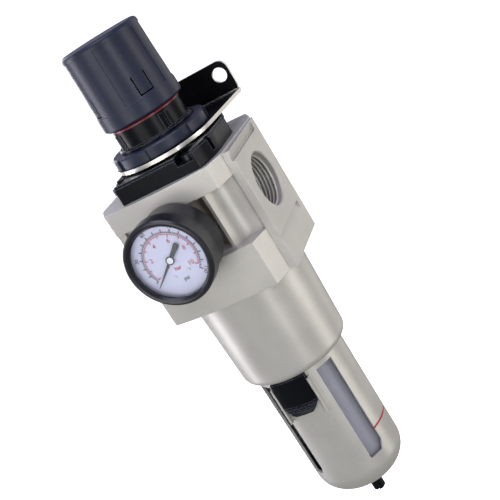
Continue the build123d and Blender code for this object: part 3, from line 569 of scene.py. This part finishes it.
def finished_piece(name: str, bm: bmesh.types.BMesh, finish: Finish, body: Body,
                   smooth: bool = False) -> bpy.types.Object:
    """Turns a bmesh into a named piece that rides on a CAD body.

    Args:
        name: The piece's name.
        bm: Its shape, in place, in metres. It is freed.
        finish: Its finish.
        body: The body that it rides on.
        smooth: Whether its faces are shaded smooth.

    Returns:
        The new object.
    """
    bmesh.ops.remove_doubles(bm, verts=bm.verts, dist=1e-7)
    bmesh.ops.recalc_face_normals(bm, faces=bm.faces)
    for face in bm.faces:
        face.smooth = smooth
    mesh = bpy.data.meshes.new(name)
    bm.to_mesh(mesh)
    bm.free()
    piece = bpy.data.objects.new(name, mesh)
    bpy.context.scene.collection.objects.link(piece)
    piece.data.materials.append(finish.material())
    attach(piece, body.value)
    log.info("built %s, %d faces, on %s", name, len(mesh.polygons), body.value)
    return piece


@dataclass
class BodyCasting:
    """The die-cast body with its two threaded ports and the plug of its second gauge port."""

    bore_radius: float = 16.65
    crest_radius: float = 15.35
    pitch: float = 2.309
    thread_start: float = 43.7
    thread_turns: float = 7.0
    steps_per_turn: int = 64

    def thread(self, port: Port) -> None:
        """Winds the inside pipe thread of one port: one ridge, swept round and along the bore.

        Args:
            port: The port.
        """
        bm = bmesh.new()
        root, crest = self.bore_radius + 0.05, self.crest_radius
        half_root, half_crest = self.pitch * 0.46, self.pitch * 0.07
        section = [(half_root, root), (half_crest, crest), (-half_crest, crest), (-half_root, root)]
        first = self.thread_start - half_root
        corners = [bm.verts.new((port.value * (first + x) * MM, 0.0, height(r))) for x, r in section]
        face = bm.faces.new(corners)
        steps = round(self.thread_turns * self.steps_per_turn)
        advance = -port.value * self.pitch * MM / self.steps_per_turn
        bmesh.ops.spin(bm, geom=[face, *face.edges, *face.verts], cent=(0.0, 0.0, PORT_HEIGHT),
                       axis=(1.0, 0.0, 0.0), dvec=(advance, 0.0, 0.0),
                       angle=2 * math.pi * self.thread_turns, steps=steps)
        finished_piece(f"{port.name.lower()}_thread", bm, Finishes.enamel, Body.REGULATOR,
                       True)

    def build(self) -> None:
        """Builds the threads and dresses the casting."""
        for port in Port:
            self.thread(port)
        dress(Finishes.enamel, "body")
        dress(Finishes.zinc, "rear_plug")


@dataclass
class BonnetAndKnob:
    """The spring cage, the adjusting screw with its knob, and what the screw presses on."""

    def build(self) -> None:
        """Dresses the pieces above the body."""
        dress(Finishes.nylon, "knob", "panel_nut")
        dress(Finishes.dense_nylon, "bonnet")
        dress(Finishes.oxide, "bonnet_screws")
        dress(Finishes.zinc, "adjusting_screw", "spring_seat")
        dress(Finishes.red, "indicator_ring")
        dress(Finishes.brass, "thrust_washer")
        dress(Finishes.wire, "regulating_spring")
        dress(Finishes.bracket_steel, "bracket")


@dataclass
class ControlStage:
    """The diaphragm and the poppet valve under it."""

    def build(self) -> None:
        """Dresses the pieces that hold and drop the pressure."""
        dress(Finishes.rubber, "diaphragm", "valve_disc", "valve_guide_o_ring")
        dress(Finishes.aluminium, "spring_plate")
        dress(Finishes.brass, "relief_seat", "valve_stem")
        dress(Finishes.white, "valve_guide")
        dress(Finishes.wire, "valve_spring")


@dataclass
class PressureGauge:
    """The dial gauge on the front: case, movement, dial and its two printed scales.

    Angles on the dial are degrees from +X towards +Z.
    """

    zero_angle: float = 210.5
    degrees_per_bar: float = 24.3
    bar_per_psi: float = 0.0689476
    full_bar: int = 10
    full_psi: int = 150
    print_depth: float = 0.03
    bar_arc: float = 15.5
    psi_arc: float = 16.3
    line: float = 0.4
    major_tick: float = 0.7
    minor_tick: float = 0.4

    def angle(self, bar: float) -> float:
        """The dial angle, in radians, of a pressure in bar."""
        return math.radians(self.zero_angle - self.degrees_per_bar * bar)

    def on_dial(self, x: float, z: float, turn: float = 0.0) -> Matrix:
        """The place of something drawn flat in X and Y, facing +Z, once it is printed on the dial.

        Args:
            x: How far right of the dial's middle, in millimetres.
            z: How far above it.
            turn: How far it is turned anticlockwise, in radians.

        Returns:
            The matrix that puts it there.
        """
        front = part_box("gauge_dial")[0].y - self.print_depth * MM
        place = Matrix.Translation((x * MM, front, height(z)))
        return place @ Matrix.Rotation(math.pi / 2, 4, "X") @ Matrix.Rotation(turn, 4, "Z")

    def bar_of_print(self, bm: bmesh.types.BMesh, angle: float, inner: float, outer: float,
                     width: float) -> None:
        """Prints one straight tick.

        Args:
            bm: The print that it joins.
            angle: Its angle on the dial, in radians.
            inner: Radius of its inner end, in millimetres.
            outer: Radius of its outer end.
            width: Its width.
        """
        middle = (inner + outer) / 2
        place = self.on_dial(middle * math.cos(angle), middle * math.sin(angle), angle)
        size = Matrix.Diagonal(((outer - inner) * MM, width * MM, self.print_depth * MM, 1.0))
        bmesh.ops.create_cube(bm, size=1.0, matrix=place @ size)

    def arc_of_print(self, bm: bmesh.types.BMesh, radius: float, last_bar: float) -> None:
        """Prints the thin arc that a scale stands on, from zero to its last value.

        Args:
            bm: The print that it joins.
            radius: Its radius in millimetres.
            last_bar: The pressure where it ends, in bar.
        """
        start = self.angle(0.0)
        half = self.line / 2 * MM
        place = self.on_dial(0.0, 0.0, start)
        depth = self.print_depth / 2 * MM
        section = [(-half, -depth), (half, -depth), (half, depth), (-half, depth)]
        corners = [bm.verts.new(place @ Vector((radius * MM + x, 0.0, y))) for x, y in section]
        face = bm.faces.new(corners)
        bmesh.ops.spin(bm, geom=[face, *face.edges, *face.verts], cent=place.translation,
                       axis=(0.0, 1.0, 0.0), angle=start - self.angle(last_bar), steps=90)

    def lettering(self, bm: bmesh.types.BMesh, words: str, size: float, place: Matrix) -> None:
        """Prints a number or a unit.

        Args:
            bm: The print that it joins.
            words: What it says.
            size: The letters' size in millimetres.
            place: Where it stands.
        """
        curve = bpy.data.curves.new("lettering", "FONT")
        curve.body = words
        curve.size = size * MM
        curve.align_x = "CENTER"
        curve.align_y = "CENTER"
        curve.extrude = self.print_depth / 2 * MM
        curve.offset = 0.07 * MM
        curve.resolution_u = 3
        holder = bpy.data.objects.new("lettering", curve)
        bpy.context.scene.collection.objects.link(holder)
        bpy.context.view_layer.update()
        mesh = bpy.data.meshes.new_from_object(holder.evaluated_get(bpy.context.evaluated_depsgraph_get()))
        mesh.transform(place)
        bm.from_mesh(mesh)
        bpy.data.meshes.remove(mesh)
        bpy.data.objects.remove(holder)
        bpy.data.curves.remove(curve)

    def bar_scale(self) -> None:
        """Prints the inner scale, in bar, with upright numbers."""
        bm = bmesh.new()
        self.arc_of_print(bm, self.bar_arc, self.full_bar)
        for fifth in range(self.full_bar * 5 + 1):
            long, middling = fifth % 5 == 0, fifth % 10 == 0
            inner = self.bar_arc - (1.9 if middling else 1.6 if long else 0.8)
            self.bar_of_print(bm, self.angle(fifth / 5), inner, self.bar_arc,
                              self.major_tick if long else self.minor_tick)
        for bar in range(2, self.full_bar + 1, 2):
            angle = self.angle(bar)
            self.lettering(bm, str(bar), 3.8, self.on_dial(11.3 * math.cos(angle), 11.3 * math.sin(angle)))
        self.lettering(bm, "bar", 3.4, self.on_dial(0.8, -6.0))
        finished_piece("bar_scale", bm, Finishes.red_ink, Body.REGULATOR)

    def psi_scale(self) -> None:
        """Prints the outer scale, in psi, with numbers that stand round the dial."""
        bm = bmesh.new()
        self.arc_of_print(bm, self.psi_arc, self.full_psi * self.bar_per_psi)
        for psi in range(0, self.full_psi + 1, 2):
            long = psi % 10 == 0
            outer = self.psi_arc + (2.1 if long else 0.9)
            self.bar_of_print(bm, self.angle(psi * self.bar_per_psi), self.psi_arc, outer,
                              self.major_tick if long else self.minor_tick)
        for psi in range(30, self.full_psi + 1, 30):
            angle = self.angle(psi * self.bar_per_psi)
            place = self.on_dial(20.0 * math.cos(angle), 20.0 * math.sin(angle), angle - math.pi / 2)
            self.lettering(bm, str(psi), 3.1, place)
        self.lettering(bm, "psi", 3.4, self.on_dial(2.2, -13.2))
        finished_piece("psi_scale", bm, Finishes.black_ink, Body.REGULATOR)

    def build(self) -> None:
        """Prints the scales and dresses the gauge."""
        self.bar_scale()
        self.psi_scale()
        dress(Finishes.gauge_steel, "gauge_case", "gauge_bezel")
        dress(Finishes.dial, "gauge_dial")
        dress(Finishes.lens, "gauge_lens")
        dress(Finishes.pointer, "gauge_pointer")
        dress(Finishes.zinc, "dial_screws", "pointer_cap")
        dress(Finishes.brass, "gauge_socket", "pointer_arbor", "sector_gear", "movement_frame",
              "bourdon_tube")


@dataclass
class FilterStage:
    """The swirl deflector, the filter element and the baffle over the quiet zone."""

    def build(self) -> None:
        """Dresses the filter's pieces."""
        dress(Finishes.white, "deflector", "element_stud", "baffle")
        dress(Finishes.media, "filter_element")


@dataclass
class BowlUnit:
    """The bowl in its metal guard, with the lock button and the drain cock.

    Azimuths are degrees from the front, -Y, towards +X.
    """

    guard_radius: float = 30.2
    stripe_low: float = -172.2
    stripe_high: float = -170.8
    stripe_from: float = 59.0
    stripe_to: float = 101.0
    film: float = 0.08

    def level_stripe(self) -> None:
        """Paints the red line on the guard that shows the highest water level."""
        bm = bmesh.new()
        start = math.radians(self.stripe_from)
        out = Vector((math.sin(start), -math.cos(start), 0.0))
        inner, outer = self.guard_radius - 0.03, self.guard_radius + self.film
        section = [(inner, self.stripe_low), (outer, self.stripe_low),
                   (outer, self.stripe_high), (inner, self.stripe_high)]
        corners = [bm.verts.new(out * r * MM + Vector((0.0, 0.0, height(z)))) for r, z in section]
        face = bm.faces.new(corners)
        bmesh.ops.spin(bm, geom=[face, *face.edges, *face.verts], cent=(0.0, 0.0, 0.0), axis=(0.0, 0.0, 1.0),
                       angle=math.radians(self.stripe_to - self.stripe_from), steps=28)
        finished_piece("level_stripe", bm, Finishes.red_ink, Body.BOWL_UNIT)

    def build(self) -> None:
        """Paints the stripe and dresses the bowl's pieces."""
        self.level_stripe()
        dress(Finishes.enamel, "bowl_guard")
        dress(Finishes.bowl, "bowl")
        dress(Finishes.dense_nylon, "lock_button", "drain_cock")
        dress(Finishes.rubber, "bowl_o_ring")
        dress(Finishes.wire, "button_spring")
        dress(Finishes.brass, "drain_seat")


@dataclass(frozen=True)
class Softbox:
    """One soft studio light, aimed at the object.

    Attributes:
        name: What it does.
        azimuth: Degrees from the front towards +X.
        elevation: Degrees above the horizon.
        distance: Metres from the object.
        width: Metres across.
        tall: Metres high.
        watts: Power.
        tint: Colour, as sRGB hex.
    """

    name: str
    azimuth: float
    elevation: float
    distance: float
    width: float
    tall: float
    watts: float
    tint: str

    def hang(self, aim: Vector) -> None:
        """Hangs the light.

        Args:
            aim: The point that it faces.
        """
        lamp = bpy.data.lights.new(self.name, "AREA")
        lamp.shape = "RECTANGLE"
        lamp.size, lamp.size_y = self.width, self.tall
        lamp.energy = self.watts
        lamp.color = linear(self.tint)[:3]
        holder = bpy.data.objects.new(self.name, lamp)
        a, e = math.radians(self.azimuth), math.radians(self.elevation)
        away = Vector((math.sin(a) * math.cos(e), -math.cos(a) * math.cos(e), math.sin(e)))
        holder.location = aim + away * self.distance
        holder.rotation_euler = away.to_track_quat("Z", "Y").to_euler()
        bpy.context.scene.collection.objects.link(holder)
        log.info("hung %s", self.name)


@dataclass
class Studio:
    """Floor, lights, surroundings and the camera."""

    camera_azimuth: float = 26.12
    camera_elevation: float = 17.16
    camera_roll: float = -31.96
    camera_place: tuple[float, float, float] = (0.25872, -0.50582, 0.13786)
    focal_length: float = 70.22
    floor_drop: float = 0.25
    floor_side: float = 60.0

    def floor(self) -> None:
        """Lays the plain white floor, a little way under the object."""
        bm = bmesh.new()
        bmesh.ops.create_grid(bm, x_segments=1, y_segments=1, size=self.floor_side / 2)
        bmesh.ops.translate(bm, verts=bm.verts, vec=(0.0, 0.0, -self.floor_drop))
        mesh = bpy.data.meshes.new("floor")
        bm.to_mesh(mesh)
        bm.free()
        sweep = bpy.data.objects.new("floor", mesh)
        bpy.context.scene.collection.objects.link(sweep)
        paper = bpy.data.materials.new("white_paper")
        paper.use_nodes = True
        shader = paper.node_tree.nodes["Principled BSDF"]
        shader.inputs["Base Color"].default_value = linear("FFFFFF")
        shader.inputs["Roughness"].default_value = 0.9
        shader.inputs["Emission Color"].default_value = linear("FFFFFF")
        shader.inputs["Emission Strength"].default_value = 1.0
        mesh.materials.append(paper)
        sweep.visible_diffuse = False
        sweep.visible_glossy = False

    def surroundings(self) -> None:
        """Makes the white background, and a darker room that only reflections and fill light see."""
        world = bpy.data.worlds.new("studio")
        bpy.context.scene.world = world
        world.use_nodes = True
        tree = world.node_tree
        tree.nodes.clear()
        way = add_node(tree, "ShaderNodeTexCoord").outputs["Generated"]
        parts = add_node(tree, "ShaderNodeSeparateXYZ", None, {"Vector": way}).outputs
        up = add_node(tree, "ShaderNodeMapRange", None,
                      {"Value": parts["Z"], "From Min": -0.2, "From Max": 0.9})
        room = add_node(tree, "ShaderNodeMix", {"data_type": "RGBA"},
                        {MIX_FACTOR: up.outputs["Result"], MIX_COLOUR_A: linear("A3A3A3"),
                         MIX_COLOUR_B: linear("9C9CB8")})
        path = add_node(tree, "ShaderNodeLightPath").outputs
        seen = add_node(tree, "ShaderNodeMath", {"operation": "MAXIMUM"},
                        {0: path["Is Camera Ray"], 1: path["Is Transmission Ray"]}).outputs[0]
        colour = add_node(tree, "ShaderNodeMix", {"data_type": "RGBA"},
                          {MIX_FACTOR: seen, MIX_COLOUR_A: room.outputs[MIX_COLOUR],
                           MIX_COLOUR_B: linear("FFFFFF")})
        sky = add_node(tree, "ShaderNodeBackground", None,
                       {"Color": colour.outputs[MIX_COLOUR], "Strength": 1.0})
        add_node(tree, "ShaderNodeOutputWorld", None, {"Surface": sky.outputs["Background"]})

    def camera(self) -> None:
        """Sets up the camera, rolled to its side as the object is tilted in the picture."""
        a, e, r = (math.radians(x) for x in (self.camera_azimuth, self.camera_elevation, self.camera_roll))
        forward = Vector((-math.sin(a) * math.cos(e), math.cos(a) * math.cos(e), -math.sin(e)))
        level_right = Vector((math.cos(a), math.sin(a), 0.0))
        level_down = forward.cross(level_right)
        right = level_right * math.cos(r) - level_down * math.sin(r)
        down = level_right * math.sin(r) + level_down * math.cos(r)
        turn = Matrix((right, -down, -forward)).transposed()
        lens = bpy.data.cameras.new("camera")
        lens.lens = self.focal_length
        lens.sensor_width = 36.0
        holder = bpy.data.objects.new("camera", lens)
        x, y, z = self.camera_place
        holder.matrix_world = Matrix.Translation((x, y, PORT_HEIGHT + z)) @ turn.to_4x4()
        bpy.context.scene.collection.objects.link(holder)
        bpy.context.scene.camera = holder

    def build(self) -> None:
        """Builds the studio."""
        bpy.context.scene.view_settings.view_transform = "Standard"
        self.floor()
        self.surroundings()
        self.camera()
        aim = Vector((0.0, 0.0, PORT_HEIGHT - 0.03))
        boxes = (
            Softbox("right_softbox", 98.0, -4.0, 1.0, 0.30, 1.4, 4.5, "FFFBF6"),
            Softbox("right_rear_softbox", 152.0, 0.0, 1.1, 0.50, 1.4, 2.0, "FFFBF6"),
            Softbox("front_right_strip", 40.0, 0.0, 1.3, 0.16, 1.3, 6.0, "FFFFFF"),
            Softbox("left_softbox", -82.0, 4.0, 1.1, 0.30, 1.4, 9.0, "F6F5FF"),
            Softbox("left_rear_rim", -132.0, 10.0, 1.1, 0.25, 1.2, 4.0, "F4F4FF"),
            Softbox("top_softbox", 20.0, 74.0, 1.1, 0.7, 0.7, 6.0, "E6E6FF"),
            Softbox("front_fill", -12.0, 8.0, 1.5, 0.9, 0.9, 9.0, "FFFEFC"),
        )
        for box in boxes:
            box.hang(aim)


def main() -> None:
    """Builds the regulator and its studio."""
    assemblies = (BodyCasting(), BonnetAndKnob(), ControlStage(), PressureGauge(), FilterStage(), BowlUnit())
    for assembly in assemblies:
        log.info("%s", type(assembly).__name__)
        assembly.build()
    Studio().build()


if __name__ == "__main__":
    main()
